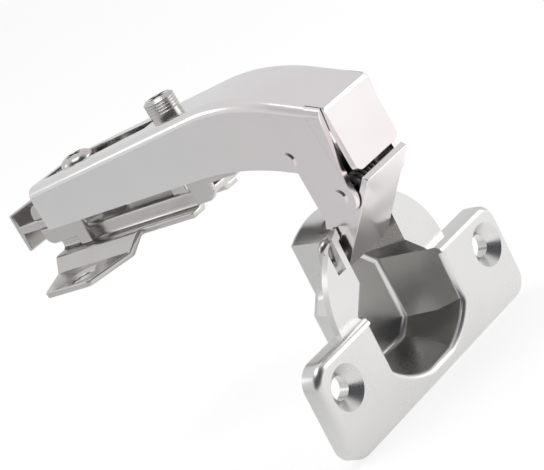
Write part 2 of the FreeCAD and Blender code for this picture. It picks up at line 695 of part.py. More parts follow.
def build_adapter():
    """The clip adapter: a channel inside the arm that hooks on the mounting plate."""
    wall = prism_y(adapter_side(), ADAPTER_INNER_HALF, ADAPTER_HALF)
    rounded = edges_where(wall, lambda p: near(p.x, ADAPTER_REAR_X))
    rounded = [e for e in rounded if near(e.Vertexes[0].Z, e.Vertexes[1].Z)]
    wall = wall.makeFillet(ADAPTER_CORNER_R, rounded)
    claw = edges_where(wall, lambda p: near(p.z, FRONT_CLAW_Z) and near(p.x, FRONT_CLAW_X[1]))
    wall = wall.makeFillet(ADAPTER_CORNER_R, claw)
    web_rear = ADAPTER_REAR_X + 2 * ADAPTER_CORNER_R
    adapter = both_sides(wall).fuse(
        box(web_rear, ADAPTER_WEB_FRONT_X, -ADAPTER_INNER_HALF - SEAT_LAP, ADAPTER_INNER_HALF + SEAT_LAP,
            ADAPTER_TOP_Z - ADAPTER_SHEET, ADAPTER_TOP_Z))
    toe_top = RIDGE_TOP_Z - PLATE_SHEET
    toe_half = RIDGE_HALF - PLATE_SHEET - PLATE_BEND_R - SLOT_GAP
    toe = box(FRONT_TOE_X, FRONT_CLAW_X[0] + TOE_T, -toe_half, toe_half, toe_top - TOE_T, toe_top)
    cross = box(FRONT_CLAW_X[0], FRONT_CLAW_X[0] + TOE_T, -ADAPTER_INNER_HALF - SEAT_LAP,
                ADAPTER_INNER_HALF + SEAT_LAP, FRONT_CLAW_Z, toe_top)
    adapter = adapter.fuse(toe).fuse(cross)
    for x in (SEAT_REAR_X, STRIP_TAB_X[0]):
        seat = box(x, x + SEAT_LENGTH, RIDGE_HALF - PLATE_SHEET, ADAPTER_INNER_HALF + SEAT_LAP,
                   RIDGE_TOP_Z, RIDGE_TOP_Z + ADAPTER_SHEET)
        adapter = adapter.fuse(both_sides(seat))
    low, high = SLIDE_STRIP_Z
    groove_front = SLIDE_BAR_X + SLIDE_TRAVEL + SLOT_GAP
    groove = box(ADAPTER_REAR_X - 1, groove_front, ADAPTER_INNER_HALF - 1, ADAPTER_HALF + 1,
                 low - SLOT_GAP, high + SLOT_GAP)
    adapter = adapter.cut(both_sides(groove))
    neck = SIDE_NECK_R + SLOT_GAP
    adapter = adapter.cut(rod_z(SIDE_SCREW_X, 0, neck, ADAPTER_LOW_Z, ADAPTER_TOP_Z + 1))
    adapter = adapter.cut(box(SIDE_SCREW_X, ADAPTER_WEB_FRONT_X + 1, -neck, neck,
                              ADAPTER_MID_Z, ADAPTER_TOP_Z + 1))
    adapter = adapter.cut(rod_z(DEPTH_SCREW_X, 0, DEPTH_SHANK_R + SLOT_GAP, ADAPTER_MID_Z, ADAPTER_TOP_Z + 1))
    return adapter.removeSplitter()


def build_slide():
    """The release slide: a rear plate on two strips with a catch under the ridge."""
    plate_low, plate_high = SLIDE_PLATE_Z
    low, high = SLIDE_STRIP_Z
    rear = SLIDE_REAR_X - SLIDE_SHEET
    plate = box(rear, SLIDE_REAR_X, -ADAPTER_HALF, ADAPTER_HALF, plate_low, plate_high)
    strip_side = box(rear, SLIDE_BAR_X, ADAPTER_INNER_HALF, ADAPTER_HALF, low, high)
    bar = box(SLIDE_BAR_X - CATCH_T, SLIDE_BAR_X, -ADAPTER_HALF, ADAPTER_HALF, low, high)
    toe_top = RIDGE_TOP_Z - PLATE_SHEET - SLOT_GAP
    toe_low = toe_top - TOE_T
    catch = box(SLIDE_BAR_X - CATCH_T, SLIDE_BAR_X, -CATCH_HALF, CATCH_HALF, toe_low, high)
    toe = box(SLIDE_BAR_X - CATCH_T - CATCH_TOE, SLIDE_BAR_X, -CATCH_HALF, CATCH_HALF, toe_low, toe_top)
    slide = plate.fuse(both_sides(strip_side)).fuse(bar).fuse(catch).fuse(toe)
    return slide.removeSplitter()


def plate_section():
    """Half of the plate's section across X, from the ridge to a wing's end."""
    slope_in, slope_out = WING_SLOPE_Y
    upper = [
        (0, RIDGE_TOP_Z),
        (RIDGE_HALF, RIDGE_TOP_Z),
        (RIDGE_HALF, FOOT_Z),
        (slope_in, FOOT_Z),
        (slope_out, PLATE_SHEET),
        (WING_END_Y, PLATE_SHEET),
    ]
    lower = [
        (WING_END_Y, 0),
        (slope_out - PLATE_SHEET / 2, 0),
        (slope_in - PLATE_SHEET / 2, FOOT_Z - PLATE_SHEET),
        (RIDGE_HALF - PLATE_SHEET, FOOT_Z - PLATE_SHEET),
        (RIDGE_HALF - PLATE_SHEET, RIDGE_TOP_Z - PLATE_SHEET),
        (0, RIDGE_TOP_Z - PLATE_SHEET),
    ]
    return upper + lower


def build_plate():
    """The pressed mounting plate: a ridge along X with two swept wings."""
    points = [V(RIDGE_REAR_X, y, z) for y, z in plate_section()]
    face = Part.Face(Part.makePolygon(points + points[:1]))
    half = face.extrude(V(RIDGE_FRONT_X - RIDGE_REAR_X, 0, 0))
    bends = [e for e in half.Edges if near(e.Vertexes[0].Y, e.Vertexes[1].Y)
             and near(e.Vertexes[0].Z, e.Vertexes[1].Z)
             and RIDGE_HALF - PLATE_SHEET - 1e-4 < e.Vertexes[0].Y < WING_END_Y - 1]
    half = half.makeFillet(PLATE_BEND_R, bends)
    plan = [
        (RIDGE_REAR_X, -1),
        (RIDGE_FRONT_X, -1),
        (RIDGE_FRONT_X, FOOT_HALF),
        (WING_ROOT_FRONT_X, FOOT_HALF),
        (WING_WAIST_X, WING_SPACING / 2),
        (WING_FRONT_X, WING_END_Y),
        (WING_REAR_X, WING_END_Y),
        (RIDGE_REAR_X, FOOT_HALF),
    ]
    keep = prism_z(plan, -1, RIDGE_TOP_Z + 1)
    tips = [e for e in keep.Edges if near(e.Vertexes[0].X, e.Vertexes[1].X)
            and near(e.Vertexes[0].Y, e.Vertexes[1].Y) and e.Vertexes[0].Y > FOOT_HALF + 1]
    keep = keep.makeFillet(WING_CORNER_R, tips)
    half = half.common(keep)
    plate = both_sides(half)
    for side in (-1, 1):
        y = side * WING_SPACING / 2
        plate = plate.cut(rod_z(0, y, PLATE_HOLE_R, -1, PLATE_SHEET + 1))
        plate = plate.cut(Part.makeCone(PLATE_HOLE_R, PLATE_SINK_R, PLATE_SINK_DEPTH,
                                        V(0, y, PLATE_SHEET - PLATE_SINK_DEPTH)))
    rear, front = CATCH_WINDOW_X
    window = box(rear, front, -CATCH_HALF - SLOT_GAP, CATCH_HALF + SLOT_GAP,
                 RIDGE_TOP_Z - 2 * PLATE_SHEET, RIDGE_TOP_Z + 1)
    return plate.cut(window).removeSplitter()


def cross_recess(x, top):
    """A cross-shaped driver recess in the top of a screw."""
    depth = top - CROSS_DEPTH
    arm = CROSS_SLOT / 2
    one = box(x - CROSS_HALF, x + CROSS_HALF, -arm, arm, depth, top + 1)
    two = box(x - arm, x + arm, -CROSS_HALF, CROSS_HALF, depth, top + 1)
    return one.fuse(two)


def build_depth_screw():
    """The domed fixing screw over the rear of the arm."""
    top = PAD_TOP_Z + DEPTH_HEAD_H
    head = rod_z(DEPTH_SCREW_X, 0, DEPTH_HEAD_R, PAD_TOP_Z, top)
    dome = edges_where(head, lambda p: near(p.z, top))
    head = head.makeFillet(DEPTH_HEAD_H * 0.7, dome)
    screw = head.fuse(rod_z(DEPTH_SCREW_X, 0, DEPTH_SHANK_R, DEPTH_SHANK_LOW_Z, PAD_TOP_Z))
    return screw.cut(cross_recess(DEPTH_SCREW_X, top)).removeSplitter()


def build_side_screw():
    """The side-adjusting screw: threaded body, neck and foot below the adapter's web."""
    screw = rod_z(SIDE_SCREW_X, 0, SIDE_SCREW_R, SIDE_SCREW_LOW_Z, SIDE_SCREW_TOP_Z)
    rim = edges_where(screw, lambda p: near(p.z, SIDE_SCREW_TOP_Z))
    screw = screw.makeChamfer(SPRING_WIRE_R, rim)
    foot_top = ADAPTER_TOP_Z - ADAPTER_SHEET - NECK_PLAY
    screw = screw.fuse(rod_z(SIDE_SCREW_X, 0, SIDE_NECK_R, foot_top, SIDE_SCREW_LOW_Z))
    screw = screw.fuse(rod_z(SIDE_SCREW_X, 0, SIDE_FOOT_R, foot_top - SIDE_FOOT_T, foot_top))
    return screw.cut(cross_recess(SIDE_SCREW_X, SIDE_SCREW_TOP_Z)).removeSplitter()


def main():
    """Build every sub-part and write one file for each."""
    os.makedirs("parts", exist_ok=True)
    parts = {
        "crank_arm": build_arm(),
        "arm_pin_rear": build_pin(PIVOT_A),
        "arm_pin_front": build_pin(PIVOT_B),
        "closing_spring": build_spring(),
        "outer_link": build_outer_link(),
        "inner_link": build_inner_link(),
        "hinge_cup": build_cup(),
        "cup_staple_pin": build_staple(),
        "clip_adapter": build_adapter(),
        "release_slide": build_slide(),
        "mounting_plate": build_plate(),
        "depth_fixing_screw": build_depth_screw(),
        "side_adjusting_screw": build_side_screw(),
    }
    for name, shape in parts.items():
        shape.exportStep("parts/" + name + ".step")
        print(name, shape.isValid(), len(shape.Solids), round(shape.Volume, 1))


main()
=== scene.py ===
"""Looks for a cranked cabinet cup hinge.

The CAD nodes get their plating. Copies with rounded edges stand for the cup and for pressed pieces,
two strips carry the arm's side plates forward to its front facet, and rings make the side screw's
thread. Floor, lamps and camera are set as in the photograph.
"""
import logging
import math
from dataclasses import dataclass, field
from enum import Enum
from typing import Dict, List, Optional, Tuple, Union

import bmesh
import bpy
from mathutils import Matrix, Vector


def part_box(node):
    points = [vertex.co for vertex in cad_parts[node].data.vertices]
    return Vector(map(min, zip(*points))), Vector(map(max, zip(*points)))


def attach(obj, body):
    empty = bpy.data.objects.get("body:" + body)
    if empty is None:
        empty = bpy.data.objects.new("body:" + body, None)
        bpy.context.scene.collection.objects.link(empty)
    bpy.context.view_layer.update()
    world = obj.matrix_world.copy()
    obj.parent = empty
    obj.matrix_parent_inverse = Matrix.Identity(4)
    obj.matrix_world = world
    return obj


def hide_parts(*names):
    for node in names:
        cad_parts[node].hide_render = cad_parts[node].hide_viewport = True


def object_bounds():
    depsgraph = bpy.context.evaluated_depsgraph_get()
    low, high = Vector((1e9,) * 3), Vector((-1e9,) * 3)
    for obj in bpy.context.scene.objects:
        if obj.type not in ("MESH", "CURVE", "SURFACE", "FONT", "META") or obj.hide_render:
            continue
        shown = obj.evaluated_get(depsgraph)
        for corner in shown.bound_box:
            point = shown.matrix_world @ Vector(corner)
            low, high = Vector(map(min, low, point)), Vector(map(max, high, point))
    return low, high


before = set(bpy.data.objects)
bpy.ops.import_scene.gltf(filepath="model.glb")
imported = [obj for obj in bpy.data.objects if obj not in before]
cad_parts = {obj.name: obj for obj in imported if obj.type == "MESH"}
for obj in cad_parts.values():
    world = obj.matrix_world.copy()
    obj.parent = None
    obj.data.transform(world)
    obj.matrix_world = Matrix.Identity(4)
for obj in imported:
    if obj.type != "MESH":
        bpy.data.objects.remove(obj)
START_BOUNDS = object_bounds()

LOG = logging.getLogger("hinge")
Colour = Tuple[float, float, float]
Place = Tuple[float, float, float]
Key = Union[int, str]
Library = Dict[str, bpy.types.Material]

MM = 0.001
WHITE: Colour = (1.0, 1.0, 1.0)

# How a copy of a CAD node is merged, rounded and shaded
WELD = 0.002 * MM
FLAT_ANGLE = math.radians(1.0)
SHARP_ANGLE = math.radians(35.0)
SHADE_ANGLE = math.radians(40.0)
LEVEL_ANGLE = math.radians(3.0)
LARGE_FACE = 30.0 * MM * MM

# Clouds and fine marks in the plating, their shares in its pattern, and the height of the marks
CLOUD_NOISE = {"Scale": 90.0, "Detail": 2.0, "Roughness": 0.5}
SPECK_NOISE = {"Scale": 2600.0, "Detail": 3.0, "Roughness": 0.6}
CLOUD_SHARE = 0.6
SPECK_SHARE = 0.4
PATTERN_MEAN = 0.5
MARK_HEIGHT = 0.05 * MM

# Sockets of a Mix node that blends colours
MIX_FACTOR, MIX_LOW, MIX_HIGH, MIX_RESULT = 0, 6, 7, 2


class Grain(Enum):
    """How the fine marks run, as the stretch of their pattern along x, y and z."""

    CLOUDY = (1.0, 1.0, 1.0)
    DRAWN_X = (0.08, 1.0, 1.0)
    TURNED = (1.0, 1.0, 6.0)


class Signal:
    """A shader socket that takes part in ordinary arithmetic."""

    def __init__(self, tree: bpy.types.NodeTree, socket: bpy.types.NodeSocket) -> None:
        """Wrap an output socket of a node tree."""
        self.tree = tree
        self.socket = socket

    @classmethod
    def node(cls, tree: bpy.types.NodeTree, kind: str, inputs: Optional[Dict[Key, "Input"]] = None,
             settings: Optional[Dict[str, str]] = None, output: Key = 0) -> "Signal":
        """Add a node of any kind.

        Args:
            tree: node tree to add it to.
            kind: node type.
            inputs: signals or plain values by the name or number of their sockets.
            settings: node properties, set first.
            output: name or number of the output socket.

        Returns:
            The chosen output.
        """
        added = tree.nodes.new(kind)
        for name, choice in (settings or {}).items():
            setattr(added, name, choice)
        for key, value in (inputs or {}).items():
            if isinstance(value, Signal):
                value.feed(added.inputs[key])
            else:
                added.inputs[key].default_value = value
        return cls(tree, added.outputs[output])

    def feed(self, socket: bpy.types.NodeSocket) -> None:
        """Link this signal to an input socket."""
        self.tree.links.new(self.socket, socket)

    def dot(self, way: Place) -> "Signal":
        """Measure this vector along a direction."""
        return self.node(self.tree, "ShaderNodeVectorMath", {0: self, 1: way},
                         {"operation": "DOT_PRODUCT"}, "Value")

    def mix(self, low: "Paint", high: "Paint") -> "Signal":
        """Blend two colours by this signal, from low at 0 to high at 1."""
        ends = [end if isinstance(end, Signal) else (*end, 1.0) for end in (low, high)]
        return self.node(self.tree, "ShaderNodeMix",
                         {MIX_FACTOR: self, MIX_LOW: ends[0], MIX_HIGH: ends[1]},
                         {"data_type": "RGBA"}, MIX_RESULT)

    def clamp(self, top: float = 1.0) -> "Signal":
        """Hold the signal between 0 and a top value."""
        return self.node(self.tree, "ShaderNodeClamp", {"Value": self, "Min": 0.0, "Max": top})

    def _math(self, operation: str, first: "Operand", second: "Operand") -> "Signal":
        """Add a maths node for two operands."""
        return self.node(self.tree, "ShaderNodeMath", {0: first, 1: second},
                         {"operation": operation})

    def __add__(self, other: "Operand") -> "Signal":
        """Add a value to this signal."""
        return self._math("ADD", self, other)

    def __radd__(self, other: "Operand") -> "Signal":
        """Add this signal to a number."""
        return self._math("ADD", other, self)

    def __sub__(self, other: "Operand") -> "Signal":
        """Take a value from this signal."""
        return self._math("SUBTRACT", self, other)

    def __rsub__(self, other: "Operand") -> "Signal":
        """Take this signal from a number."""
        return self._math("SUBTRACT", other, self)

    def __mul__(self, other: "Operand") -> "Signal":
        """Multiply this signal by a value."""
        return self._math("MULTIPLY", self, other)

    def __rmul__(self, other: "Operand") -> "Signal":
        """Multiply a number by this signal."""
        return self._math("MULTIPLY", other, self)

    def __truediv__(self, other: "Operand") -> "Signal":
        """Divide this signal by a value."""
        return self._math("DIVIDE", self, other)

    def __rtruediv__(self, other: "Operand") -> "Signal":
        """Divide a number by this signal."""
        return self._math("DIVIDE", other, self)


Operand = Union[Signal, float]
Paint = Union[Signal, Colour]
Input = Union[Signal, float, Tuple[float, ...]]


@dataclass(frozen=True)
class Finish:
    """A plated or plain metal surface, or a darker colour that paints shade into a hollow.

    Attributes:
        name: name of the material.
        dark: colour of the darker clouds.
        light: colour of the paler clouds.
        roughness: mean roughness.
        spread: how much the roughness varies.
        relief: strength of the fine marks.
        grain: how the fine marks run.
        blush: warmer dark colour towards the arm's nose.
        blush_start: where the blush begins along the arm.
        blush_span: length over which it comes in.
    """

    name: str
    dark: Colour
    light: Colour
    roughness: float
    spread: float
    relief: float
    grain: Grain = Grain.CLOUDY
    blush: Optional[Colour] = None
    blush_start: float = 30.0 * MM
    blush_span: float = 35.0 * MM

    def _colour(self, where: Signal, pattern: Signal) -> Signal:
        """Blend the finish's colours, warmer towards the nose where it has a blush.

        Args:
            where: place on the piece.
            pattern: pattern of the plating from 0 to 1.

        Returns:
            The colour.
        """
        plain = pattern.mix(self.dark, self.light)
        if self.blush is None:
            return plain
        reach = Signal.node(where.tree, "ShaderNodeSeparateXYZ", {"Vector": where}, output="X")
        along = ((reach - self.blush_start) / self.blush_span).clamp()
        return along.mix(plain, pattern.mix(self.blush, self.light))

    def material(self) -> bpy.types.Material:
        """Make the procedural material.

        Returns:
            The new material.
        """
        made = bpy.data.materials.new(self.name)
        made.use_nodes = True
        tree = made.node_tree
        shader = tree.nodes["Principled BSDF"]
        shader.inputs["Metallic"].default_value = 1.0
        where = Signal.node(tree, "ShaderNodeTexCoord", output="Object")
        drawn = Signal.node(tree, "ShaderNodeMapping", {"Vector": where, "Scale": self.grain.value})
        cloud = Signal.node(tree, "ShaderNodeTexNoise", {"Vector": where, **CLOUD_NOISE})
        speck = Signal.node(tree, "ShaderNodeTexNoise", {"Vector": drawn, **SPECK_NOISE})
        pattern = (CLOUD_SHARE * cloud + SPECK_SHARE * speck).clamp()
        rough = (self.roughness + (pattern - PATTERN_MEAN) * self.spread).clamp()
        bump = Signal.node(tree, "ShaderNodeBump", {
            "Strength": self.relief, "Distance": MARK_HEIGHT, "Height": speck})
        self._colour(where, pattern).feed(shader.inputs["Base Color"])
        rough.feed(shader.inputs["Roughness"])
        bump.feed(shader.inputs["Normal"])
        LOG.info("finish %s", self.name)
        return made


PLATE = Finish("nickel_pressed", (0.58, 0.565, 0.545), (0.76, 0.745, 0.725), 0.24, 0.10, 0.02)
ARM = Finish("nickel_bright", (0.81, 0.805, 0.79), (0.91, 0.895, 0.885), 0.18, 0.08, 0.10,
             Grain.DRAWN_X, blush=(0.86, 0.775, 0.785))
CUP = Finish("nickel_satin", (0.72, 0.715, 0.70), (0.83, 0.825, 0.81), 0.28, 0.06, 0.02)
# The hollow's dark colours are painted shade; its slightly higher roughness stands for duller
# plating in the recess.
HOLLOW_SHADE = Finish("recess_painted_shade", (0.34, 0.33, 0.315), (0.48, 0.47, 0.455), 0.30, 0.08, 0.02)
SCREW = Finish("nickel_screw", (0.58, 0.56, 0.54), (0.74, 0.72, 0.70), 0.24, 0.10, 0.12,
               Grain.TURNED)
WIRE = Finish("spring_steel", (0.16, 0.16, 0.17), (0.28, 0.28, 0.29), 0.35, 0.10, 0.10)


def stocked(library: Library, finish: Finish) -> bpy.types.Material:
    """Give a finish's material, which is made only once.

    Args:
        library: made materials by finish name.
        finish: finish to look up.

    Returns:
        The material.
    """
    if finish.name not in library:
        library[finish.name] = finish.material()
    return library[finish.name]


def place_piece(shape: bmesh.types.BMesh, name: str,
                materials: List[bpy.types.Material]) -> bpy.types.Object:
    """Turn a shape into an object of the scene.

    Args:
        shape: shape to turn, which is freed.
        name: name of the object.
        materials: its materials in the order of the faces' material numbers.

    Returns:
        The new object.
    """
    mesh = bpy.data.meshes.new(name)
    shape.to_mesh(mesh)
    shape.free()
    for material in materials:
        mesh.materials.append(material)
    piece = bpy.data.objects.new(name, mesh)
    bpy.context.scene.collection.objects.link(piece)
    LOG.info("built %s, %d faces", name, len(mesh.polygons))
    return piece


@dataclass
class SubAssembly:
    """A set of CAD nodes with their finishes and roundings.

    Attributes:
        finishes: finish of each node.
        rounds: body and radius of each node that gets a rounded copy.
        round_steps: faces across a rounding.
        inner_materials: further materials of a rounded copy, such as the cup hollow's painted
            shade.
    """

    finishes: Dict[str, Finish] = field(default_factory=dict)
    rounds: Dict[str, Tuple[str, float]] = field(default_factory=dict)
    round_steps: int = 3
    inner_materials: Tuple[Finish, ...] = ()

    def bevel(self, shape: bmesh.types.BMesh, edges: List[bmesh.types.BMEdge],
              radius: float) -> None:
        """Round some edges by a radius on each face."""
        bmesh.ops.bevel(shape, geom=edges, offset=radius, offset_type="OFFSET", affect="EDGES",
                        segments=self.round_steps, profile=0.5, material=-1, clamp_overlap=False)

    def round_shape(self, shape: bmesh.types.BMesh, radius: float) -> None:
        """Round the outer edges of a pressed piece by a radius on each face."""
        sharp = [e for e in shape.edges
                 if e.is_manifold and e.calc_face_angle_signed() > SHARP_ANGLE]
        self.bevel(shape, sharp, radius)

    def shade(self, shape: bmesh.types.BMesh) -> None:
        """Shade curved faces smoothly and keep sharp edges and large flat faces crisp.

        Args:
            shape: shape to change.
        """
        for face in shape.faces:
            face.smooth = True
        for edge in shape.edges:
            turn = edge.calc_face_angle(math.pi)
            large = any(f.calc_area() > LARGE_FACE for f in edge.link_faces)
            edge.smooth = turn < (LEVEL_ANGLE if large else SHADE_ANGLE)

    def build_rounded(self, library: Library) -> None:
        """Make the pieces whose edges are rounded and let them stand for their nodes.

        Args:
            library: made materials by finish name.
        """
        for node, (body, radius) in self.rounds.items():
            shape = bmesh.new()
            shape.from_mesh(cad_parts[node].data)
            bmesh.ops.remove_doubles(shape, verts=shape.verts, dist=WELD)
            bmesh.ops.dissolve_limit(shape, angle_limit=FLAT_ANGLE, verts=shape.verts,
                                     edges=shape.edges)
            self.round_shape(shape, radius)
            self.shade(shape)
            finishes = (self.finishes[node], *self.inner_materials)
            piece = place_piece(shape, node + "_rounded", [stocked(library, f) for f in finishes])
            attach(piece, body)
            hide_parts(node)

    def dress(self, library: Library) -> None:
        """Give each node its material.

        Args:
            library: made materials by finish name.
        """
        for node, finish in self.finishes.items():
            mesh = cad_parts[node].data
            mesh.materials.clear()
            mesh.materials.append(stocked(library, finish))
            LOG.info("dressed %s with %s", node, finish.name)


@dataclass
class BaseAssembly(SubAssembly):
    """Mounting plate, clip adapter and release slide."""

    finishes: Dict[str, Finish] = field(default_factory=lambda: {
        "mounting_plate": PLATE, "clip_adapter": PLATE, "release_slide": PLATE})
    rounds: Dict[str, Tuple[str, float]] = field(default_factory=lambda: {
        "mounting_plate": ("base", 0.2 * MM), "clip_adapter": ("base", 0.2 * MM),
        "release_slide": ("release", 0.3 * MM)})


@dataclass
class ArmAssembly(SubAssembly):
    """Cranked arm with pins, spring and screws.

    Attributes:
        thread_seat: how deep the thread's rings sit in the screw.
        thread_half: half the foot of a ring as a share of the pitch.
        thread_top_gap: height of the screw's end above the top ring.
        cheek_outer: outer face of a side plate, from the middle.
        cheek_inner: inner face of a side plate, from the middle.
        fold_radius: outer radius of the fold between top and side plate.
        crease: x and z of the crease where the top begins to fall.
        fall: fall of the top beyond the crease.
        cheek_low: x and z of the lower end of a side plate's front edge.
        cheek_lean: forward step of that edge for each step up.
        strip_lean: the same for the strip's front edge.
        strip_width: width of the strip at its lower end.
    """

    finishes: Dict[str, Finish] = field(default_factory=lambda: {
        "crank_arm": ARM, "arm_pin_front": ARM, "arm_pin_rear": ARM, "closing_spring": WIRE,
        "depth_fixing_screw": SCREW, "side_adjusting_screw": SCREW})
    thread_pitch: float = 0.55 * MM
    thread_depth: float = 0.16 * MM
    thread_seat: float = 0.02 * MM
    thread_half: float = 0.35
    thread_turns: int = 5
    thread_top_gap: float = 0.6 * MM
    thread_segments: int = 48
    cheek_outer: float = 7.9 * MM
    cheek_inner: float = 6.72 * MM
    fold_radius: float = 2.0 * MM
    fold_steps: int = 7
    crease: Tuple[float, float] = (68.3 * MM, 14.2 * MM)
    fall: float = math.tan(math.radians(22.3))
    cheek_low: Tuple[float, float] = (65.51 * MM, 0.3 * MM)
    cheek_lean: float = -1.0 / 19.75
    strip_lean: float = 0.16
    strip_width: float = 0.03 * MM

    def _edge_place(self, lean: float, drop: float) -> Tuple[float, float]:
        """Find the place on a leaning edge at a depth below the arm's falling top.

        Args:
            lean: forward step of the edge for each step up.
            drop: depth below the top.

        Returns:
            The place as x and z.
        """
        low_x, low_z = self.cheek_low
        crease_x, crease_z = self.crease
        rise = (crease_x - low_x + lean * low_z) * self.fall
        z = (crease_z - drop + rise) / (1 + lean * self.fall)
        return low_x + lean * (z - low_z), z

    def _section(self, side: int, lean: float) -> List[Vector]:
        """Find the corners of a cheek strip's section, fold included, on a leaning edge.

        Args:
            side: 1 or -1 along the pivots.
            lean: forward step of the edge for each step up.

        Returns:
            The corners from the fold's inner end down to the strip's lower end and back.
        """
        corners = []
        first = math.asin((self.cheek_inner - self.cheek_outer) / self.fold_radius + 1)
        for step in range(self.fold_steps):
            angle = first + (math.pi / 2 - first) * step / (self.fold_steps - 1)
            y = self.cheek_outer - self.fold_radius * (1 - math.sin(angle))
            x, z = self._edge_place(lean, self.fold_radius * (1 - math.cos(angle)))
            corners.append(Vector((x, side * y, z)))
        low_x, low_z = self.cheek_low
        for y in (self.cheek_outer, self.cheek_inner):
            corners.append(Vector((low_x, side * y, low_z)))
        return corners

    def build_cheeks(self, library: Library) -> None:
        """Make the strips that carry the arm's side plates forward to the front facet.

        Args:
            library: made materials by finish name.
        """
        forward = Vector((self.strip_width, 0.0, 0.0))
        for side, name in ((1, "cheek_strip_far"), (-1, "cheek_strip_near")):
            shape = bmesh.new()
            rear = [shape.verts.new(c) for c in self._section(side, self.cheek_lean)]
            grown = bmesh.ops.extrude_face_region(shape, geom=[shape.faces.new(rear)])["geom"]
            for vert, corner in zip(rear, self._section(side, self.strip_lean)):
                ends = [e.other_vert(vert) for e in vert.link_edges]
                next(v for v in ends if v in grown).co = corner + forward
            bmesh.ops.recalc_face_normals(shape, faces=shape.faces)
            strip = place_piece(shape, name, [library[ARM.name]])
            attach(strip, "arm")

    def build_thread(self, library: Library) -> None:
        """Make the thread on the part of the side screw that stands out of the arm.

        Args:
            library: made materials by finish name.
        """
        low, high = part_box("side_adjusting_screw")
        centre = Vector(((low.x + high.x) / 2, 0.0, 0.0))
        radius = (high.x - low.x) / 2
        inner = radius - self.thread_seat
        outer = radius + self.thread_depth
        half = self.thread_pitch * self.thread_half
        shape = bmesh.new()
        for turn in range(self.thread_turns):
            z = high.z - self.thread_top_gap - turn * self.thread_pitch
            ring = ((inner, z + half), (outer, z), (inner, z - half))
            corners = [shape.verts.new((centre.x + r, 0.0, h)) for r, h in ring]
            edges = [shape.edges.new(pair) for pair in zip(corners, corners[1:] + corners[:1])]
            bmesh.ops.spin(shape, geom=corners + edges, cent=centre, axis=(0, 0, 1),
                           angle=math.tau, steps=self.thread_segments, use_merge=True)
        bmesh.ops.recalc_face_normals(shape, faces=shape.faces)
        thread = place_piece(shape, "side_screw_thread", [library[SCREW.name]])
        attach(thread, "side_screw")


@dataclass
class LinkAssembly(SubAssembly):
    """Outer and inner links."""

    finishes: Dict[str, Finish] = field(default_factory=lambda: {
        "outer_link": ARM, "inner_link": ARM})
    rounds: Dict[str, Tuple[str, float]] = field(default_factory=lambda: {
        "outer_link": ("outer", 0.15 * MM)})


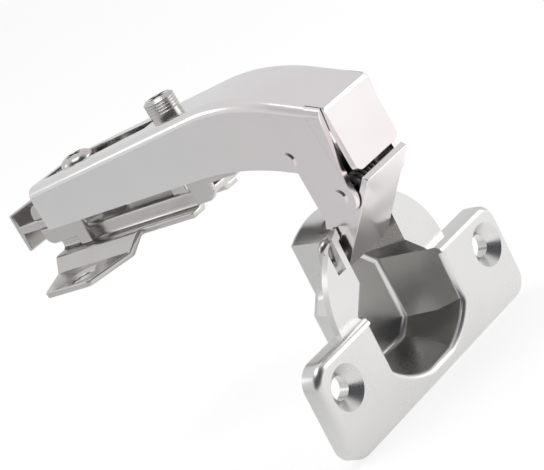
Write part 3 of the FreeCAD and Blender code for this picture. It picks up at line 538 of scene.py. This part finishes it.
@dataclass
class CupAssembly(SubAssembly):
    """Cup and its staple pin.

    Attributes:
        front: direction out of the mouth.
        front_slack: how far below the front the mouth's edges may lie.
        mouth_half: half the width of the mouth, flange left out.
        mouth_angle: least turn of a mouth edge.
        corner_angles: range of the turn at a corner between the hollow's walls.
        corner_length: least length of such a corner.
        wall_facing: most that a wall faces the front.
        floor_facing: least that the hollow's floor faces the front.
        hollow_depth: least depth of the floor below the front.
        hollow_edge: depth below the front at which the painted shade ends.
        hollow_facing: least that a wall of the hollow faces its middle.
        hollow_lip: turn of an edge over which the painted shade doesn't spread.
    """

    finishes: Dict[str, Finish] = field(default_factory=lambda: {
        "hinge_cup": CUP, "cup_staple_pin": SCREW})
    rounds: Dict[str, Tuple[str, float]] = field(default_factory=lambda: {
        "hinge_cup": ("cup", 1.1 * MM)})
    round_steps: int = 5
    # The hollow's second material is painted shade.
    inner_materials: Tuple[Finish, ...] = (HOLLOW_SHADE,)
    front: Place = (0.9969, 0.0, -0.0785)
    front_slack: float = 0.03 * MM
    mouth_half: float = 13.5 * MM
    mouth_angle: float = math.radians(50.0)
    corner_radius: float = 1.2 * MM
    corner_angles: Tuple[float, float] = (math.radians(-55.0), math.radians(-41.0))
    corner_length: float = 8.0 * MM
    wall_facing: float = 0.5
    floor_facing: float = 0.99
    hollow_depth: float = 8.0 * MM
    hollow_edge: float = 1.0 * MM
    hollow_facing: float = 0.2
    hollow_lip: float = math.radians(8.0)
    # Material number of the hollow's painted shade.
    hollow_shade_number: int = 1

    def round_shape(self, shape: bmesh.types.BMesh, radius: float) -> None:
        """Round the corners of the hollow's walls, then the edge of its mouth.

        Args:
            shape: shape to change.
            radius: width of the mouth's rounding on each face.
        """
        front = Vector(self.front)
        low, high = self.corner_angles
        corners = [e for e in shape.edges
                   if e.is_manifold and low < e.calc_face_angle_signed() < high
                   and e.calc_length() > self.corner_length
                   and all(abs(f.normal.dot(front)) < self.wall_facing for f in e.link_faces)
                   and all(abs(v.co.y) < self.mouth_half for v in e.verts)]
        self.bevel(shape, corners, self.corner_radius)
        level = max(v.co.dot(front) for v in shape.verts) - self.front_slack
        mouth = [e for e in shape.edges
                 if e.is_manifold and e.calc_face_angle_signed() > self.mouth_angle
                 and all(v.co.dot(front) > level and abs(v.co.y) < self.mouth_half
                         for v in e.verts)]
        self.bevel(shape, mouth, radius)
        LOG.info("cup corners %d, mouth edges %d", len(corners), len(mouth))
        self.paint_hollow_shade(shape, front)

    def paint_hollow_shade(self, shape: bmesh.types.BMesh, front: Vector) -> None:
        """Paint shade into the hollow with a darker material, from its floor up to the mouth's
        rounding.

        Args:
            shape: shape to change.
            front: direction out of the mouth.
        """
        level = max(v.co.dot(front) for v in shape.verts)
        deep = [f for f in shape.faces if f.normal.dot(front) > self.floor_facing
                and f.verts[0].co.dot(front) < level - self.hollow_depth]
        floor = max(deep, key=lambda f: f.calc_area())
        middle = floor.calc_center_median()

        def inside(face: bmesh.types.BMFace) -> bool:
            """Tell whether a face looks at the hollow's middle from below the mouth.

            Args:
                face: face to test.

            Returns:
                True for a wall of the hollow.
            """
            place = face.calc_center_median()
            inward = middle - place
            inward -= front * inward.dot(front)
            return (place.dot(front) < level - self.hollow_edge
                    and abs(place.y) < self.mouth_half
                    and face.normal.dot(inward.normalized()) > self.hollow_facing)

        found, ahead = {floor}, [floor]
        while ahead:
            face = ahead.pop()
            face.material_index = self.hollow_shade_number
            for edge in face.edges:
                if edge.is_manifold and edge.calc_face_angle_signed() < self.hollow_lip:
                    fresh = [f for f in edge.link_faces if f not in found and inside(f)]
                    found.update(fresh)
                    ahead.extend(fresh)
        LOG.info("hollow faces %d", len(found))


@dataclass(frozen=True)
class Lamp:
    """A soft square lamp."""

    name: str
    place: Place
    size: float
    power: float


@dataclass
class Studio:
    """Floor, lights and camera.

    Attributes:
        floor_gap: gap between the object and the floor.
        floor_white: share of the floor's glow that the camera sees.
        floor_glow: strength of that glow.
        floor_mid: share of the glow that metal mirrors from the floor's middle.
        floor_lean: change of that share for each metre along floor_way.
        floor_top: most of that share.
        tent_start: facing towards the camera at which the tent begins to darken.
        tent_span: range of facing over which it darkens.
        aim: place that the lamps point at.
    """

    floor_half: float = 1.5
    floor_gap: float = 0.2 * MM
    floor_colour: Colour = (0.93, 0.93, 0.93)
    floor_roughness: float = 0.9
    floor_white: float = 0.50
    floor_glow: float = 1.42
    floor_mid: float = 0.27
    floor_lean: float = 2.8
    floor_way: Place = (1.0, 1.0, 0.0)
    floor_top: float = 0.50
    tent_light: Colour = (0.74, 0.74, 0.75)
    tent_dark: Colour = (0.08, 0.08, 0.09)
    tent_start: float = 0.15
    tent_span: float = 0.45
    camera_place: Place = (0.3215, -0.2611, 0.0832)
    camera_right: Place = (0.665, 0.561, -0.493)
    camera_up: Place = (0.195, 0.506, 0.840)
    camera_near: float = 0.01
    lens: float = 143.54
    sensor_width: float = 36.0
    aim: Place = (0.03, 0.0, -0.01)
    lamps: Tuple[Lamp, ...] = (
        Lamp("key", (0.15, -0.20, 0.70), 0.45, 1.0),
        Lamp("fold", (-0.49, -0.375, 0.37), 0.20, 0.15),
        Lamp("fill", (0.55, 0.50, 0.10), 0.40, 0.8))

    def floor_material(self) -> bpy.types.Material:
        """Make a pale material that reads as white to the camera and keeps shadows.

        Returns:
            The new material.
        """
        pale = bpy.data.materials.new("floor_pale")
        pale.use_nodes = True
        tree = pale.node_tree
        shader = tree.nodes["Principled BSDF"]
        shader.inputs["Base Color"].default_value = (*self.floor_colour, 1.0)
        shader.inputs["Roughness"].default_value = self.floor_roughness
        direct = Signal.node(tree, "ShaderNodeLightPath", output="Is Camera Ray")
        mirrored = Signal.node(tree, "ShaderNodeLightPath", output="Is Glossy Ray")
        where = Signal.node(tree, "ShaderNodeTexCoord", output="Object")
        ahead = where.dot(self.floor_way)
        gleam = (self.floor_mid + ahead * self.floor_lean).clamp(self.floor_top)
        share = (direct * self.floor_white + mirrored * gleam).clamp()
        glow = Signal.node(tree, "ShaderNodeEmission", {
            "Color": (*WHITE, 1.0), "Strength": self.floor_glow})
        matt = Signal(tree, shader.outputs["BSDF"])
        seen = Signal.node(tree, "ShaderNodeMixShader", {0: share, 1: matt, 2: glow})
        seen.feed(tree.nodes["Material Output"].inputs["Surface"])
        return pale

    def build_floor(self) -> None:
        """Lay a pale floor under the object."""
        level = START_BOUNDS[0][2] - self.floor_gap
        shape = bmesh.new()
        bmesh.ops.create_grid(shape, x_segments=1, y_segments=1, size=self.floor_half,
                              matrix=Matrix.Translation((0, 0, level)))
        floor = place_piece(shape, "floor", [self.floor_material()])
        LOG.info("floor at %.4f", level)

    def build_world(self) -> None:
        """Surround the object with a pale tent that is open and dark at the camera."""
        world = bpy.data.worlds.new("studio")
        bpy.context.scene.world = world
        world.use_nodes = True
        tree = world.node_tree
        back = tree.nodes["Background"]
        way = Signal.node(tree, "ShaderNodeTexCoord", output="Generated")
        towards = way.dot(tuple(Vector(self.camera_place).normalized()))
        shade = ((towards - self.tent_start) / self.tent_span).clamp()
        tent = shade.mix(self.tent_light, self.tent_dark)
        direct = Signal.node(tree, "ShaderNodeLightPath", output="Is Camera Ray")
        direct.mix(tent, WHITE).feed(back.inputs["Color"])
        back.inputs["Strength"].default_value = 1.0

    def build_lights(self) -> None:
        """Hang the soft lamps."""
        for lamp in self.lamps:
            light = bpy.data.lights.new(lamp.name, "AREA")
            light.size = lamp.size
            light.energy = lamp.power
            held = bpy.data.objects.new(lamp.name, light)
            held.location = lamp.place
            way = Vector(self.aim) - Vector(lamp.place)
            held.rotation_euler = way.to_track_quat("-Z", "Y").to_euler()
            bpy.context.scene.collection.objects.link(held)
            LOG.info("lamp %s", lamp.name)

    def build_camera(self) -> None:
        """Set the camera where the photograph was taken from."""
        right = Vector(self.camera_right).normalized()
        back = right.cross(Vector(self.camera_up)).normalized()
        up = back.cross(right)
        lens = bpy.data.cameras.new("camera")
        lens.sensor_fit = "HORIZONTAL"
        lens.sensor_width = self.sensor_width
        lens.lens = self.lens
        lens.clip_start = self.camera_near
        held = bpy.data.objects.new("camera", lens)
        turn = Matrix((right, up, back)).transposed().to_4x4()
        held.matrix_world = Matrix.Translation(self.camera_place) @ turn
        bpy.context.scene.collection.objects.link(held)
        bpy.context.scene.camera = held
        bpy.context.scene.view_settings.view_transform = "Standard"
        LOG.info("camera set")


def main() -> None:
    """Dress the hinge and set the stage."""
    logging.basicConfig(level=logging.INFO)
    library: Library = {}
    arm = ArmAssembly()
    for part in (BaseAssembly(), arm, LinkAssembly(), CupAssembly()):
        part.dress(library)
        part.build_rounded(library)
    arm.build_thread(library)
    arm.build_cheeks(library)
    studio = Studio()
    studio.build_floor()
    studio.build_world()
    studio.build_lights()
    studio.build_camera()


if __name__ == "__main__":
    main()
